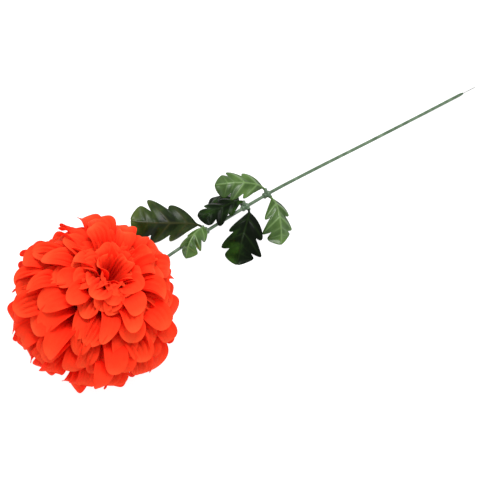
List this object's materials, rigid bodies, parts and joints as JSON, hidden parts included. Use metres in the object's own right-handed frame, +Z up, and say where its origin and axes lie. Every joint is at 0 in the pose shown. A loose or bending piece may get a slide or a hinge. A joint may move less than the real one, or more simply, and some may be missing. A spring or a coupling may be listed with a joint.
{
  "type": "artificial fabric pompom chrysanthemum on a wire stem",
  "caption": "Artificial orange-red fabric chrysanthemum lying down, with plugged-on lobed plastic leaves and a straight green stem that ends in a bare wire.",
  "frame": {"origin": "middle of the bottom of the whole object's box, on the table it lies on", "axes": "+X along the stem from the flower head to the bare wire tip, +Z up; the flower's face looks up and leans to -Y and a little to +X"},
  "size_m": [0.574, 0.1554, 0.1291],
  "materials": {
    "petals": "matt woven polyester with pressed ribs",
    "button": "matt flocked",
    "calyx": "moulded, satin",
    "stem": "extruded, satin",
    "wire": "bare drawn wire",
    "leaves": "moulded, glossy with raised veins"
  },
  "bodies": {
    "root": {"petal_disc_01": "petals", "petal_disc_02": "petals", "petal_disc_03": "petals", "petal_disc_04": "petals", "petal_disc_05": "petals", "petal_disc_06": "petals", "petal_disc_07": "petals", "petal_disc_08": "petals", "petal_disc_09": "petals", "petal_disc_10": "petals", "petal_disc_11": "petals", "petal_disc_12": "petals", "petal_disc_13": "petals", "petal_disc_14": "petals", "centre_button": "button", "head_pin": "calyx", "calyx_cup": "calyx", "stem_sheath": "stem", "stem_wire": "wire", "leaf_collar_upper": "stem", "leaf_collar_middle": "stem", "leaf_collar_lower": "stem", "leaf_1": "leaves", "leaf_2": "leaves", "leaf_3": "leaves", "leaf_4": "leaves", "leaf_5": "leaves", "leaf_6": "leaves", "leaf_7": "leaves"}
  },
  "joints": []
}
